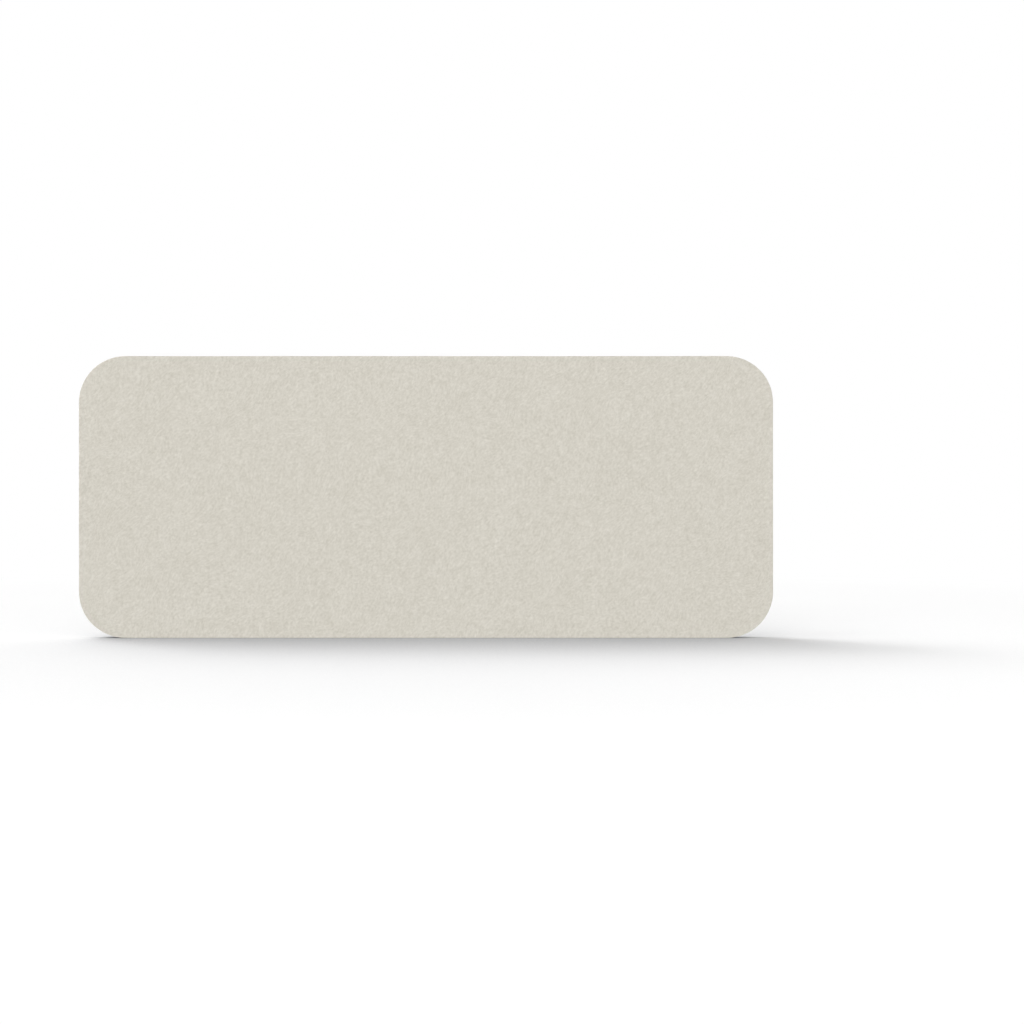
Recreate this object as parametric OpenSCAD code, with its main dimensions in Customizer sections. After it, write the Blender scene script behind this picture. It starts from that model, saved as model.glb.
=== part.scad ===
// Acoustic divider screen: a felt-covered panel with rounded corners that stands on its bottom edge.
// A dowelled wooden frame holds a barrier board in a groove, with absorber pads on both sides of it.
// Two felt covers, each over a layer of wadding, are sewn together round the edge, and their open
// hems are stapled under the bottom rail and closed by a strip.
// Millimetres. X runs along the width, the front face looks to -Y, Z is up, and the origin is on
// the floor under the middle of the screen.

/* [Screen] */
// Width of the screen over its felt
screen_w = 1600; // [1200:10:2000]
// Height from the floor to the top edge
screen_h = 650; // [450:10:900]
// Thickness over both felt faces
screen_t = 30; // [28:1:45]
// Radius of the four corners
corner_r = 107; // [95:1:150]

/* [Felt covers] */
// Thickness of the felt
felt_t = 2.5; // [2:0.1:3]
// Rounding of the felt where it turns over the frame's edge
fold_r = 3; // [3:0.5:5]
// Play between the felt and the frame's outer edge
cover_fit = 0.2; // [0.1:0.05:0.4]
// Width of the seam allowance that is turned into the frame's edge groove
seam_flange_w = 6; // [4:0.5:7]
// Thickness of one seam allowance, pressed flat
seam_flange_t = 2; // [1.5:0.1:2.5]
// Rounding of the felt on each side of the seam
seam_fold_r = 1; // [0.5:0.1:1.4]
// Gap between the two hems under the bottom rail
hem_gap = 2; // [1:0.5:4]
// How far the seam runs on under each end of the base strip
seam_end_lap = 8; // [4:1:10]

/* [Wadding] */
// Thickness of the wadding under each felt face
wadding_t = 1.5; // [1:0.1:2]
// Play between the wadding and the felt round it
wadding_fit = 0.3; // [0.1:0.05:0.5]

/* [Frame] */
// Width of the rails, stiles and corner blocks, seen from the front
rail_w = 42; // [38:1:52]
// Play beside and behind the seam allowances in the edge groove
seam_groove_fit = 0.2; // [0.1:0.05:0.5]

/* [Barrier board] */
// Thickness of the barrier board
board_t = 3; // [2.5:0.1:4]
// How far the board is let into the frame
board_let_in = 5.7; // [4:0.1:7]
// Play of the board in its groove, on each side and at its edge
board_fit = 0.1; // [0.05:0.05:0.3]

/* [Mullions and absorber pads] */
// Width of the two upright mullions
mullion_w = 36; // [30:1:50]
// Play between an absorber pad and the wood round it
pad_fit = 0.3; // [0.1:0.05:0.5]

/* [Dowels] */
// Diameter of the frame dowels
dowel_d = 8; // [6:1:8]
// Length of the frame dowels
dowel_l = 30; // [24:1:36]
// Distance between the two dowels of a joint
dowel_pitch = 14; // [12:1:15]
// Play round a dowel in its hole
dowel_fit = 0.05; // [0.03:0.01:0.1]
// Free depth past each end of a dowel
dowel_end_play = 0.5; // [0.3:0.1:1]
// Chamfer on the dowel ends
dowel_chamfer = 1; // [0.5:0.1:1.5]

/* [Mullion screws] */
// Number of screws in each mullion
mullion_screws_each = 4; // [3:1:6]
// Distance from a rail to the nearest mullion screw
mullion_screw_end = 60; // [40:5:90]
// Diameter of a mullion screw
mullion_screw_d = 4; // [3:0.5:5]
// Length of a mullion screw over its head
mullion_screw_l = 18; // [15:0.5:20]
// Diameter of its countersunk head
mullion_head_d = 8; // [7:0.5:9]
// Height of its countersunk head
mullion_head_h = 2.4; // [2:0.1:3]

/* [Threaded inserts] */
// Distance from the screen's end to the middle of a bracket
bracket_inset = 300; // [250:10:350]
// Distance between the two inserts of a bracket
bracket_pitch = 64; // [50:1:80]
// Bore of an insert, the core diameter of its M6 thread
insert_bore_d = 5; // [4:0.1:6]
// Outer diameter of an insert's body
insert_d = 10; // [8.5:0.5:12]
// Length of an insert
insert_l = 15; // [12:1:25]
// Diameter of an insert's flange
insert_flange_d = 14; // [13:0.5:16]
// Thickness of an insert's flange
insert_flange_t = 1.2; // [0.8:0.1:2]
// Play round an insert in the rail
insert_fit = 0.05; // [0.03:0.01:0.1]
// Ring of felt punched away round an insert's flange
insert_notch = 1; // [0.5:0.5:2]

/* [Base strip] */
// Width of the strip under the bottom rail
strip_w = 22; // [18:0.5:23]
// Thickness of the strip
strip_t = 1.6; // [1.4:0.1:2]
// Chamfer round the strip's lower edge
strip_chamfer = 0.3; // [0.1:0.1:0.5]
// How far the strip stands below the felt round it
strip_proud = 0.3; // [0.2:0.1:0.6]
// Gap between the felt and the strip's long edges
strip_fit = 0.2; // [0.1:0.1:0.4]
// Distance from each end of the rail to the strip's end
strip_end_gap = 6; // [4:1:12]
// Diameter of the strip's clearance holes for the bracket bolts
bolt_hole_d = 6.6; // [6.4:0.1:7.5]
// Number of strip screws between the two brackets
strip_screws_between = 6; // [4:2:10]
// Distance from the strip's end to its last screw
strip_screw_end = 24; // [20:1:30]
// Diameter of a strip screw
strip_screw_d = 3; // [2.5:0.1:3.5]
// Length of a strip screw over its head
strip_screw_l = 16; // [12:1:20]
// Diameter of its countersunk head
strip_head_d = 5.6; // [5:0.1:6.5]
// Height of its countersunk head
strip_head_h = 1.4; // [1.2:0.1:1.6]

/* [Screws in general] */
// Play round a screw in its hole
screw_fit = 0.1; // [0.05:0.05:0.2]
// Width of the arms of a screw's cross recess
recess_arm_w = 0.7; // [0.5:0.1:1]
// Depth of a screw's cross recess
recess_d = 1; // [0.6:0.1:1.2]
// Span of the cross recess as a share of the head's diameter
recess_span_share = 0.5; // [0.4:0.05:0.6]

/* [Hem staples] */
// Distance between staples along a hem
staple_pitch = 66; // [50:1:90]
// Distance from the screen's middle plane to each row of staples
staple_row = 5.6; // [4.5:0.1:7]
// Length of a staple's crown
staple_crown = 8; // [6:0.5:10]
// Length of a staple's legs
staple_leg = 10; // [6:0.5:12]
// Thickness of the staple wire
staple_wire = 0.8; // [0.6:0.1:1]
// Play round the staple wire
staple_fit = 0.05; // [0.03:0.01:0.1]
// Distance from each end of the rail within which no staple is set
staple_end = 16; // [12:1:30]

/* [Hidden] */
$fn = 96;

// How far a cutting shape runs past what it cuts
overrun = 1;

// Places across the thickness, as distances from the middle plane
face_y = screen_t / 2;
wadding_y = face_y - felt_t;
frame_y = wadding_y - wadding_t;
board_y = board_t / 2;

// The felt's outline: a rounded rectangle that stands strip_proud above the floor
outline_h = screen_h - strip_proud;
middle_z = strip_proud + outline_h / 2;
half_w = screen_w / 2;
half_h = outline_h / 2;
straight_w = screen_w - 2 * corner_r;
straight_h = outline_h - 2 * corner_r;

// Insets from the felt's outline, measured inwards
frame_inset = felt_t + cover_fit;
opening_inset = frame_inset + rail_w;
board_inset = opening_inset - board_let_in;
rail_middle_inset = frame_inset + rail_w / 2;
seam_groove_inset = felt_t + seam_flange_w + seam_groove_fit;

// The opening inside the frame and its three bays
opening_w = screen_w - 2 * opening_inset;
opening_h = outline_h - 2 * opening_inset;
bay_w = (opening_w - 2 * mullion_w) / 3;
mullion_x = (bay_w + mullion_w) / 2;

// Heights at the bottom edge
rail_foot_z = strip_proud + frame_inset;
strip_half_l = straight_w / 2 - strip_end_gap;
hem_half_l = strip_half_l - seam_end_lap;

// Places along the bottom edge
bracket_x = half_w - bracket_inset;
insert_xs = [for (side = [-1, 1], end = [-1, 1]) side * bracket_x + end * bracket_pitch / 2];
inner_reach = bracket_x - bracket_pitch / 2;
strip_screw_xs = concat(
    [for (i = [1:strip_screws_between]) inner_reach * (2 * i / (strip_screws_between + 1) - 1)],
    [for (side = [-1, 1]) side * bracket_x],
    [for (side = [-1, 1]) side * (strip_half_l - strip_screw_end)]
);
insert_notch_r = insert_flange_d / 2 + insert_notch;
staple_clearance = insert_notch_r + staple_crown / 2 + staple_wire;
staple_run = straight_w - 2 * staple_end - staple_crown;
staple_gaps = round(staple_run / staple_pitch);
staple_xs = [
    for (i = [0:staple_gaps])
        let (x = staple_run * (i / staple_gaps - 1 / 2))
        if (min([for (insert_x = insert_xs) abs(x - insert_x)]) > staple_clearance) x
];

// Places of the mullion screws up a mullion
mullion_screw_span = opening_h - 2 * mullion_screw_end;
mullion_screw_zs = [
    for (i = [0:mullion_screws_each - 1])
        middle_z + mullion_screw_span * (i / (mullion_screws_each - 1) - 1 / 2)
];

// The outline drawn in by an inset, as a flat shape in the plane of the screen
module outline(inset) {
    r = corner_r - inset;
    w = screen_w - 2 * inset;
    h = outline_h - 2 * inset;
    translate([0, middle_z]) {
        square([w - 2 * r, h], center = true);
        square([w, h - 2 * r], center = true);
        for (side = [-1, 1], level = [-1, 1])
            translate([side * (w / 2 - r), level * (h / 2 - r)]) circle(r);
    }
}

// A flat shape in the plane of the screen, given a thickness from one depth to another
module slab(from_y, to_y) {
    translate([0, to_y, 0])
        rotate([90, 0, 0])
            linear_extrude(height = to_y - from_y)
                children();
}

// A cross-section carried along one straight side. In the section, x is the distance outwards
// from the felt's outline and y is the depth. turn is 0 at the right, -90 at the top,
// 180 at the left and 90 at the bottom.
module along_side(turn, reach, length) {
    translate([0, 0, middle_z])
        rotate([0, turn, 0])
            translate([reach, 0, 0])
                linear_extrude(height = length, center = true)
                    children();
}

// The same cross-section carried round one corner
module round_corner(side, level) {
    turn = level > 0 ? (side > 0 ? -90 : -180) : (side > 0 ? 0 : -270);
    translate([side * (half_w - corner_r), 0, middle_z + level * (half_h - corner_r)])
        rotate([0, turn, 0])
            rotate([-90, 0, 0])
                rotate_extrude(angle = 90)
                    translate([corner_r, 0])
                        children();
}

// Section of the front felt where it turns over the frame's edge and runs back to a depth of
// inner_y. It laps the flat face by the overrun.
module folded_felt(inner_y) {
    difference() {
        intersection() {
            union() {
                translate([-fold_r - overrun, -face_y]) square([overrun, felt_t]);
                translate([-fold_r, fold_r - face_y]) circle(fold_r);
                translate([-fold_r, fold_r - face_y]) square([fold_r, face_y - fold_r + inner_y]);
            }
            translate([-fold_r - overrun, -face_y]) square([fold_r + overrun, face_y + inner_y]);
        }
        translate([-fold_r - 2 * overrun, -wadding_y])
            square([fold_r + 2 * overrun - felt_t, wadding_y + inner_y + overrun]);
    }
}

// Section of the front felt where it is sewn: it meets the rear felt at the middle plane, and its
// seam allowance turns inwards there
module sewn_felt_section(allowance_w) {
    difference() {
        union() {
            folded_felt(0);
            translate([-felt_t - allowance_w, -seam_flange_t])
                square([felt_t + allowance_w, seam_flange_t]);
        }
        difference() {
            translate([-seam_fold_r, -seam_fold_r]) square(seam_fold_r + overrun);
            translate([-seam_fold_r, -seam_fold_r]) circle(seam_fold_r);
        }
    }
}

// Outline of the base strip, grown by a play
module strip_outline(play) {
    square([2 * strip_half_l - strip_w, strip_w + 2 * play], center = true);
    for (side = [-1, 1])
        translate([side * (strip_half_l - strip_w / 2), 0]) circle(d = strip_w + 2 * play);
}

// Section of the frame, with the board's groove in its inner edge and, where the cover is sewn,
// the groove for the seam allowances in its outer edge
module frame_section(sewn) {
    groove_half = seam_flange_t + seam_groove_fit;
    board_half = board_y + board_fit;
    difference() {
        translate([-opening_inset, -frame_y]) square([rail_w, 2 * frame_y]);
        if (sewn)
            translate([-seam_groove_inset, -groove_half])
                square([seam_groove_inset, 2 * groove_half]);
        translate([-opening_inset - overrun, -board_half])
            square([board_let_in + board_fit + overrun, 2 * board_half]);
    }
}

// A countersunk screw that points along +Z, its flat head at the origin
module screw(d, l, head_d, head_h) {
    difference() {
        union() {
            cylinder(d = d, h = l - d);
            translate([0, 0, l - d]) cylinder(d1 = d, d2 = d / 4, h = d);
            cylinder(d1 = head_d, d2 = d, h = head_h);
        }
        for (turn = [0, 90])
            rotate([0, 0, turn])
                translate([0, 0, (recess_d - overrun) / 2])
                    cube([head_d * recess_span_share, recess_arm_w, recess_d + overrun], center = true);
    }
}

// The hole that such a screw needs, with play all round
module screw_hole(d, l, head_d, head_h) {
    translate([0, 0, -overrun]) cylinder(d = d + 2 * screw_fit, h = l + screw_fit + overrun);
    translate([0, 0, -overrun]) cylinder(d = head_d + 2 * screw_fit, h = overrun);
    cylinder(d1 = head_d + 2 * screw_fit, d2 = d + 2 * screw_fit, h = head_h);
}

// Puts its children at each mullion screw of one mullion, pointing back from the frame's face
module at_mullion_screws(side) {
    for (z = mullion_screw_zs)
        translate([side * mullion_x, -frame_y, z]) rotate([-90, 0, 0]) children();
}

// Puts its children at each dowel between a corner block and the rail or stile beside it.
// The children lie along Z with their middle in the joint.
module at_corner_dowels(side, level) {
    for (end = [-1, 1]) {
        inset = rail_middle_inset + end * dowel_pitch / 2;
        translate([side * straight_w / 2, 0, middle_z + level * (half_h - inset)])
            rotate([0, 90, 0]) children();
        translate([side * (half_w - inset), 0, middle_z + level * straight_h / 2])
            children();
    }
}

module dowel() {
    body_l = dowel_l - 2 * dowel_chamfer;
    cylinder(d = dowel_d, h = body_l, center = true);
    for (end = [0, 180])
        rotate([end, 0, 0])
            translate([0, 0, body_l / 2])
                cylinder(d1 = dowel_d, d2 = dowel_d - 2 * dowel_chamfer, h = dowel_chamfer);
}

module dowel_hole() {
    cylinder(d = dowel_d + 2 * dowel_fit, h = dowel_l + 2 * dowel_end_play, center = true);
}

// A staple with its crown at the origin, along X, and its legs pointing up, grown by a play
module staple(play) {
    wire = staple_wire + 2 * play;
    translate([-staple_crown / 2 - play, -wire / 2, -play])
        cube([staple_crown + 2 * play, wire, wire]);
    for (end = [-1, 1])
        translate([end * (staple_crown - staple_wire) / 2 - wire / 2, -wire / 2, -play])
            cube([wire, wire, staple_leg + 2 * play]);
}

module at_staples(rows) {
    for (row = rows, x = staple_xs)
        translate([x, row * staple_row, strip_t]) children();
}

module insert_hole() {
    translate([0, 0, -overrun]) cylinder(d = insert_flange_d + 2 * insert_fit, h = insert_flange_t + overrun);
    cylinder(d = insert_d + 2 * insert_fit, h = insert_l + insert_fit);
}

// The front felt cover: its face, its sewn edges, its four corners and its hem, which is pressed
// thinner where the base strip lies. The seam runs on, with its allowance cut away, to the strip.
module front_cover() {
    difference() {
        union() {
            slab(-face_y, -wadding_y) outline(fold_r);
            along_side(0, half_w, straight_h) sewn_felt_section(seam_flange_w);
            along_side(180, half_w, straight_h) sewn_felt_section(seam_flange_w);
            along_side(-90, half_h, straight_w) sewn_felt_section(seam_flange_w);
            for (side = [-1, 1], level = [-1, 1])
                round_corner(side, level) sewn_felt_section(seam_flange_w);
            for (side = [-1, 1])
                translate([side * (straight_w / 2 + hem_half_l) / 2, 0, 0])
                    along_side(90, half_h, straight_w / 2 - hem_half_l) sewn_felt_section(0);
            along_side(90, half_h, 2 * hem_half_l) folded_felt(-hem_gap / 2);
        }
        translate([0, 0, -overrun]) linear_extrude(height = strip_t + overrun) strip_outline(strip_fit);
        for (x = insert_xs)
            translate([x, 0, 0]) cylinder(r = insert_notch_r, h = rail_foot_z + overrun);
        for (x = strip_screw_xs)
            translate([x, 0, 0]) cylinder(d = strip_screw_d + 2 * screw_fit, h = rail_foot_z + overrun);
        at_staples([-1]) staple(staple_fit);
    }
}

module front_felt() {
    color([0.83, 0.81, 0.77]) front_cover();
}

module rear_felt() {
    color([0.83, 0.81, 0.77]) mirror([0, 1, 0]) front_cover();
}

module front_wadding() {
    color([0.95, 0.95, 0.93]) slab(-wadding_y, -frame_y) outline(frame_inset + wadding_fit);
}

module rear_wadding() {
    color([0.95, 0.95, 0.93]) slab(frame_y, wadding_y) outline(frame_inset + wadding_fit);
}

module barrier_board() {
    color([0.55, 0.40, 0.26])
        difference() {
            slab(-board_y, board_y) outline(board_inset);
            for (side = [-1, 1])
                at_mullion_screws(side)
                    screw_hole(mullion_screw_d, mullion_screw_l, mullion_head_d, mullion_head_h);
        }
}

module top_rail() {
    color([0.87, 0.74, 0.55])
        difference() {
            along_side(-90, half_h, straight_w) frame_section(true);
            for (side = [-1, 1]) at_corner_dowels(side, 1) dowel_hole();
        }
}

module bottom_rail() {
    color([0.87, 0.74, 0.55])
        difference() {
            along_side(90, half_h, straight_w) frame_section(false);
            for (side = [-1, 1]) at_corner_dowels(side, -1) dowel_hole();
            for (x = insert_xs) translate([x, 0, rail_foot_z]) insert_hole();
            for (x = strip_screw_xs)
                translate([x, 0, 0])
                    cylinder(d = strip_screw_d + 2 * screw_fit, h = strip_screw_l + screw_fit);
            at_staples([-1, 1]) staple(staple_fit);
        }
}

module stile(side) {
    color([0.87, 0.74, 0.55])
        difference() {
            along_side(side > 0 ? 0 : 180, half_w, straight_h) frame_section(true);
            for (level = [-1, 1]) at_corner_dowels(side, level) dowel_hole();
        }
}

module corner_block(side, level) {
    color([0.80, 0.66, 0.46])
        difference() {
            round_corner(side, level) frame_section(true);
            at_corner_dowels(side, level) dowel_hole();
        }
}

// One mullion, from the barrier board out to the frame's face. face is -1 at the front, 1 at the rear.
module mullion(side, face) {
    color([0.87, 0.74, 0.55])
        difference() {
            translate([
                side * mullion_x - mullion_w / 2,
                face > 0 ? board_y : -frame_y,
                middle_z - opening_h / 2
            ])
                cube([mullion_w, frame_y - board_y, opening_h]);
            at_mullion_screws(side)
                screw_hole(mullion_screw_d, mullion_screw_l, mullion_head_d, mullion_head_h);
        }
}

// One absorber pad: bay is -1 at the left, 0 in the middle and 1 at the right
module pad(bay, face) {
    color([0.62, 0.63, 0.62])
        slab(face > 0 ? board_y : -frame_y, face > 0 ? frame_y : -board_y)
            intersection() {
                outline(opening_inset + pad_fit);
                translate([bay * (bay_w + mullion_w), middle_z])
                    square([bay_w - 2 * pad_fit, opening_h], center = true);
            }
}

module frame_dowels() {
    color([0.90, 0.80, 0.62])
        for (side = [-1, 1], level = [-1, 1]) at_corner_dowels(side, level) dowel();
}

module mullion_screws() {
    color([0.85, 0.76, 0.45])
        for (side = [-1, 1])
            at_mullion_screws(side) screw(mullion_screw_d, mullion_screw_l, mullion_head_d, mullion_head_h);
}

module threaded_inserts() {
    color([0.80, 0.68, 0.38])
        for (x = insert_xs)
            translate([x, 0, rail_foot_z])
                difference() {
                    union() {
                        cylinder(d = insert_flange_d, h = insert_flange_t);
                        cylinder(d = insert_d, h = insert_l);
                    }
                    translate([0, 0, -overrun]) cylinder(d = insert_bore_d, h = insert_l + 2 * overrun);
                }
}

module hem_staples() {
    color([0.75, 0.75, 0.77]) at_staples([-1, 1]) staple(0);
}

module base_strip() {
    eased_w = strip_w - 2 * strip_chamfer;
    color([0.72, 0.70, 0.66])
        difference() {
            union() {
                translate([0, 0, strip_chamfer])
                    linear_extrude(height = strip_t - strip_chamfer) strip_outline(0);
                rotate([90, 0, 90])
                    linear_extrude(height = 2 * strip_half_l - strip_w, center = true)
                        polygon([
                            [-eased_w / 2, 0], [eased_w / 2, 0],
                            [strip_w / 2, strip_chamfer], [-strip_w / 2, strip_chamfer]
                        ]);
                for (side = [-1, 1])
                    translate([side * (strip_half_l - strip_w / 2), 0, 0])
                        cylinder(d1 = eased_w, d2 = strip_w, h = strip_chamfer);
            }
            for (x = insert_xs)
                translate([x, 0, -overrun]) cylinder(d = bolt_hole_d, h = strip_t + 2 * overrun);
            for (x = strip_screw_xs)
                translate([x, 0, 0]) screw_hole(strip_screw_d, strip_screw_l, strip_head_d, strip_head_h);
        }
}

module base_strip_screws() {
    color([0.80, 0.80, 0.82])
        for (x = strip_screw_xs)
            translate([x, 0, 0]) screw(strip_screw_d, strip_screw_l, strip_head_d, strip_head_h);
}

front_felt();
rear_felt();
front_wadding();
rear_wadding();
barrier_board();
top_rail();
bottom_rail();
stile(-1);  // left_stile
stile(1);  // right_stile
corner_block(-1, 1);  // top_left_corner_block
corner_block(1, 1);  // top_right_corner_block
corner_block(-1, -1);  // bottom_left_corner_block
corner_block(1, -1);  // bottom_right_corner_block
mullion(-1, -1);  // front_left_mullion
mullion(1, -1);  // front_right_mullion
mullion(-1, 1);  // rear_left_mullion
mullion(1, 1);  // rear_right_mullion
pad(-1, -1);  // front_left_pad
pad(0, -1);  // front_middle_pad
pad(1, -1);  // front_right_pad
pad(-1, 1);  // rear_left_pad
pad(0, 1);  // rear_middle_pad
pad(1, 1);  // rear_right_pad
frame_dowels();
mullion_screws();
threaded_inserts();
hem_staples();
base_strip();
base_strip_screws();
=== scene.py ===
# Acoustic divider screen: a felt-covered panel with round corners that stands on its bottom edge.
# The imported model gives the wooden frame, mullions, barrier board, screws, staples and base strip.
# Here they get their finishes, and the felt covers, sewing thread, wadding, absorber pads and
# threaded inserts are made round them. Metres throughout.
import math

import bpy
import numpy as np
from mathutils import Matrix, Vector


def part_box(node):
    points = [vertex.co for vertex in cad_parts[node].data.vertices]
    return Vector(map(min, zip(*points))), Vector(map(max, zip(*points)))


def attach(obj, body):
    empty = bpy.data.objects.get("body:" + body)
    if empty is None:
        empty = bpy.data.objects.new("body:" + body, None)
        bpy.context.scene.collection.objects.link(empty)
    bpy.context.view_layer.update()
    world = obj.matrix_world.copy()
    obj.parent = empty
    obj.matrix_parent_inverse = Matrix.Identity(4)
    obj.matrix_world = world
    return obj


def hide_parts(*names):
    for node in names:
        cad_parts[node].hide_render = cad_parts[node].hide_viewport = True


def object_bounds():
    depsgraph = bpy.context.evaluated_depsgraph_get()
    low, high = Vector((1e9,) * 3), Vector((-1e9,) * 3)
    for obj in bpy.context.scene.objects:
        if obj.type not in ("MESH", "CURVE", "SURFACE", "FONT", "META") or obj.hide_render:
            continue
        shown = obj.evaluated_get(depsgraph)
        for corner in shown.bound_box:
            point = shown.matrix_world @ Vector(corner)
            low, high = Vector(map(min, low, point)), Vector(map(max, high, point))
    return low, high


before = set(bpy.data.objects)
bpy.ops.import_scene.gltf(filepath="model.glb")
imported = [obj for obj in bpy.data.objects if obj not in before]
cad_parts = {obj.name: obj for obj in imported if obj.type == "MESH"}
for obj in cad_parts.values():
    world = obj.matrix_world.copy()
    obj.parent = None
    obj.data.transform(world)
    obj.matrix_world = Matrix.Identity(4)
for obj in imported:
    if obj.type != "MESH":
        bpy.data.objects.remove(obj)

cad_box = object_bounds()


# The camera looks level and square at the front face. In the photograph the face runs from pixel
# 79 to pixel 773 across and stands on row 638. That gives the camera's place, and the scale at the
# depth where the felt begins to fold over the edge, which is the outline that the camera sees.
picture_size = 1024
left_edge_px, right_edge_px, foot_px = 79, 773, 638
camera_distance = 2.5
fold_start_y = -0.012
sensor_width = 36


def placed(name, data):
    """An object of this name in the scene, with this data."""
    made = bpy.data.objects.new(name, data)
    bpy.context.collection.objects.link(made)
    return made


pixels_per_metre = (right_edge_px - left_edge_px) / (cad_box[1].x - cad_box[0].x)
camera = placed("camera", bpy.data.cameras.new("camera"))
camera.location = (
    (picture_size - left_edge_px - right_edge_px) / 2 / pixels_per_metre,
    fold_start_y - camera_distance,
    (foot_px - picture_size / 2) / pixels_per_metre,
)
camera.rotation_euler = (math.pi / 2, 0, 0)
camera.data.sensor_width = sensor_width
camera.data.lens = pixels_per_metre * camera_distance * sensor_width / picture_size
bpy.context.scene.camera = camera
bpy.context.scene.view_settings.view_transform = "Standard"


# The studio is a light tent: walls and a floor that glow evenly, brightest near the horizon, with
# a broad lamp high in front. Two suns behind on the left, a wide soft one and a narrower one, lay
# the shadow, and painted shade darkens the floor where the screen closes it in. The camera sees a
# white backdrop.
class Link:
    """An output socket. Python's operators on it, with numbers or other links, add Math nodes."""

    def __init__(self, graph, socket):
        self.graph = graph
        self.socket = socket

    def math(self, operation, *others):
        """This link and the others through one Math node."""
        values = dict(enumerate((self, *others)))
        return self.graph.node("ShaderNodeMath", {"operation": operation}, values)

    def __add__(self, other):
        return self.math("ADD", other)

    def __sub__(self, other):
        return self.math("SUBTRACT", other)

    def __rsub__(self, other):
        return self.graph.node("ShaderNodeMath", {"operation": "SUBTRACT"}, {0: other, 1: self})

    def __mul__(self, other):
        return self.math("MULTIPLY", other)

    def __pow__(self, other):
        return self.math("POWER", other)

    __radd__ = __add__
    __rmul__ = __mul__


class Graph:
    """The emptied node tree of a material or world, and the one method that makes its nodes."""

    def __init__(self, owner):
        owner.use_nodes = True
        self.owner = owner
        self.tree = owner.node_tree
        self.tree.nodes.clear()

    def node(self, kind, settings, values, output=0):
        """A node of this kind with its settings and its sockets' values or links set."""
        made = self.tree.nodes.new(kind)
        for name, setting in settings.items():
            setattr(made, name, setting)
        for key, value in values.items():
            if isinstance(value, Link):
                self.tree.links.new(value.socket, made.inputs[key])
            else:
                made.inputs[key].default_value = value
        return Link(self, made.outputs[output])

    def show(self, shader, kind="ShaderNodeOutputMaterial"):
        """The material or world itself, once this shader is linked to its output."""
        made = self.tree.nodes.new(kind)
        self.tree.links.new(shader.socket, made.inputs[0])
        return self.owner


def seen(graph):
    """1 for rays that carry the picture, straight, by gloss or through glass, else 0."""
    camera_ray, glossy_ray, clear_ray = (
        graph.node("ShaderNodeLightPath", {}, {}, name)
        for name in ("Is Camera Ray", "Is Glossy Ray", "Is Transmission Ray")
    )
    return camera_ray.math("MAXIMUM", glossy_ray).math("MAXIMUM", clear_ray)


def mix(graph, share, first, second):
    """The colour from first, where share is 0, to second, where it is 1."""
    return graph.node("ShaderNodeMix", {"data_type": "RGBA"}, {0: share, 6: first, 7: second}, 2)


def coordinate(graph, axis):
    """The place's X, Y or Z in the object's own frame."""
    place = graph.node("ShaderNodeTexCoord", {}, {}, "Object")
    return graph.node("ShaderNodeSeparateXYZ", {}, {0: place}, axis)


def step_between(graph, value, start, end):
    """0 where value is at start and 1 where it is at end, smooth between them and flat beyond."""
    return graph.node("ShaderNodeMapRange", {"interpolation_type": "SMOOTHSTEP"}, {
        0: value, 1: start, 2: end})


white, black = (1, 1, 1, 1), (0, 0, 0, 1)
tent_top_light = 0.1
tent_wall_light = 4.15
tent_wall_fall = 5
floor_glow = 0.83
floor_white = (0.99, 0.99, 0.99, 1)
floor_fade_from, floor_fade_to = 0.87, 2.5
# Painted contact shade and painted crevice shade, tinted toward shade_colour, darken the floor's
# colour where it is closed in.
contact_reach, contact_rays = 1.2, 6
contact_shade, crevice_shade, crevice_fall = 0.65, 0.94, 4
shade_colour = (0, 0.03, 0.13, 1)
floor_reach = 30
# Each sun's heading, its light and its angle across in degrees.
suns = {"wide_sun": ((0.55, -0.212, -1), 2.03, 54),
        "narrow_sun": ((0.64, -0.412, -1), 0.284, 14.4)}
lamp_place = Vector((-0.9, -4.1, 5.2))
lamp_aim = Vector((0, 0, 0.3))
lamp_width, lamp_height = 5, 3.5
lamp_watts = 66

graph = Graph(bpy.data.worlds.new("light_tent"))
heading = graph.node("ShaderNodeTexCoord", {}, {}, "Generated")
level = graph.node("ShaderNodeSeparateXYZ", {}, {0: heading}, "Z")
wall = (1 - level.math("ABSOLUTE")) ** tent_wall_fall * tent_wall_light + tent_top_light
glow = level.math("GREATER_THAN", 0.0) * (wall - floor_glow) + floor_glow
eye = seen(graph)
tent = graph.node("ShaderNodeBackground", {}, {0: white, 1: glow * (1 - eye) + eye})
bpy.context.scene.world = graph.show(tent, "ShaderNodeOutputWorld")

# Light on things meets a floor that glows. The picture shows a matt floor with painted shade: an
# ambient occlusion node paints it darker, and cooler, where the sky over it is closed. It fades
# into the white backdrop with distance from the screen's foot.
graph = Graph(bpy.data.materials.new("studio_floor"))
lit = graph.node("ShaderNodeEmission", {}, {0: white, 1: floor_glow})
closed = 1 - graph.node("ShaderNodeAmbientOcclusion", {"samples": contact_rays},
                        {"Distance": contact_reach}, "AO")
# Painted shade: the floor's colour goes toward shade_colour, and in crevices toward black, as its sky
# closes.
shaded = mix(graph, closed * contact_shade, floor_white, shade_colour)
tone = mix(graph, closed ** crevice_fall * crevice_shade, shaded, black)
matt = graph.node("ShaderNodeBsdfDiffuse", {}, {0: tone})
along, across = (coordinate(graph, axis) for axis in "XY")
past_end = (along.math("ABSOLUTE") - cad_box[1].x).math("MAXIMUM", 0.0)
away = (past_end ** 2 + across * across).math("SQRT")
faded = step_between(graph, away, floor_fade_from, floor_fade_to)
backdrop = graph.node("ShaderNodeEmission", {}, {0: white, 1: 1.0})
shown = graph.node("ShaderNodeMixShader", {}, {0: faded, 1: matt, 2: backdrop})
floor_finish = graph.show(graph.node("ShaderNodeMixShader", {}, {0: seen(graph), 1: lit, 2: shown}))
floor_finish.cycles.emission_sampling = "NONE"

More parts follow.
